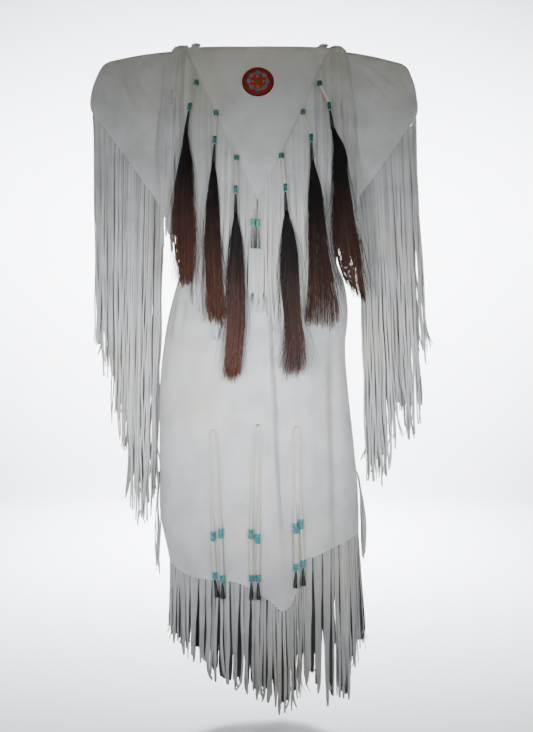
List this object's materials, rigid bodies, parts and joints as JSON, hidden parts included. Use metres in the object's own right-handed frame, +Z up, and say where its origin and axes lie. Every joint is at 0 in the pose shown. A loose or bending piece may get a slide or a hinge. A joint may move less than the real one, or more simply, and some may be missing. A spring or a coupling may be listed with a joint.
{
  "type": "native american wedding dress",
  "caption": "White buckskin dress with open cape sleeves, a V yoke, long cut fringe at sleeves, yoke and hem, a beaded rosette, and laces with beads, tin cones and horsehair.",
  "frame": {"origin": "middle of the neck opening, level with the shoulder seams", "axes": "+Z up, the front faces -Y, +X to the right of a viewer facing the front"},
  "size_m": [0.6898, 0.3024, 1.3527],
  "materials": {
    "hide": "soft nap, brain-tanned white",
    "hide_fringe": "cut edges, soft nap",
    "seed_beads": "small glass beads in rings",
    "turquoise_beads": "glossy opaque glass",
    "tin_cones": "dull rolled tin",
    "horsehair": "straight coarse hair, red-brown at the ends"
  },
  "bodies": {
    "root": {"front_panel": "hide", "back_panel": "hide", "yoke_front": "hide", "sleeve_left": "hide", "sleeve_right": "hide", "sleeve_fringe_front_left": "hide_fringe", "sleeve_fringe_front_right": "hide_fringe", "sleeve_fringe_back_left": "hide_fringe", "sleeve_fringe_back_right": "hide_fringe", "hem_fringe_front": "hide_fringe", "hem_fringe_back": "hide_fringe", "yoke_fringe_left": "hide_fringe", "yoke_fringe_right": "hide_fringe", "shoulder_fringe_left": "hide_fringe", "shoulder_fringe_right": "hide_fringe", "side_fringe_left": "hide_fringe", "side_fringe_right": "hide_fringe", "shoulder_tie_left": "hide_fringe", "shoulder_tie_right": "hide_fringe", "neck_knot_left": "hide_fringe", "neck_knot_right": "hide_fringe", "rosette": "seed_beads", "chest_drop_left_outer_beads": "turquoise_beads", "chest_drop_left_outer_cone": "tin_cones", "chest_drop_left_outer_hair": "horsehair", "chest_drop_left_middle_beads": "turquoise_beads", "chest_drop_left_middle_cone": "tin_cones", "chest_drop_left_middle_hair": "horsehair", "chest_drop_left_inner_beads": "turquoise_beads", "chest_drop_left_inner_cone": "tin_cones", "chest_drop_left_inner_hair": "horsehair", "chest_drop_right_outer_beads": "turquoise_beads", "chest_drop_right_outer_cone": "tin_cones", "chest_drop_right_outer_hair": "horsehair", "chest_drop_right_middle_beads": "turquoise_beads", "chest_drop_right_middle_cone": "tin_cones", "chest_drop_right_middle_hair": "horsehair", "chest_drop_right_inner_beads": "turquoise_beads", "chest_drop_right_inner_cone": "tin_cones", "chest_drop_right_inner_hair": "horsehair", "centre_drop_left_beads": "turquoise_beads", "centre_drop_left_cone": "tin_cones", "centre_drop_right_beads": "turquoise_beads", "centre_drop_right_cone": "tin_cones", "skirt_lace_left_beads": "turquoise_beads", "skirt_lace_left_cone_1": "tin_cones", "skirt_lace_left_cone_2": "tin_cones", "skirt_lace_middle_beads": "turquoise_beads", "skirt_lace_middle_cone_1": "tin_cones", "skirt_lace_middle_cone_2": "tin_cones", "skirt_lace_right_beads": "turquoise_beads", "skirt_lace_right_cone_1": "tin_cones", "skirt_lace_right_cone_2": "tin_cones"}
  },
  "joints": []
}
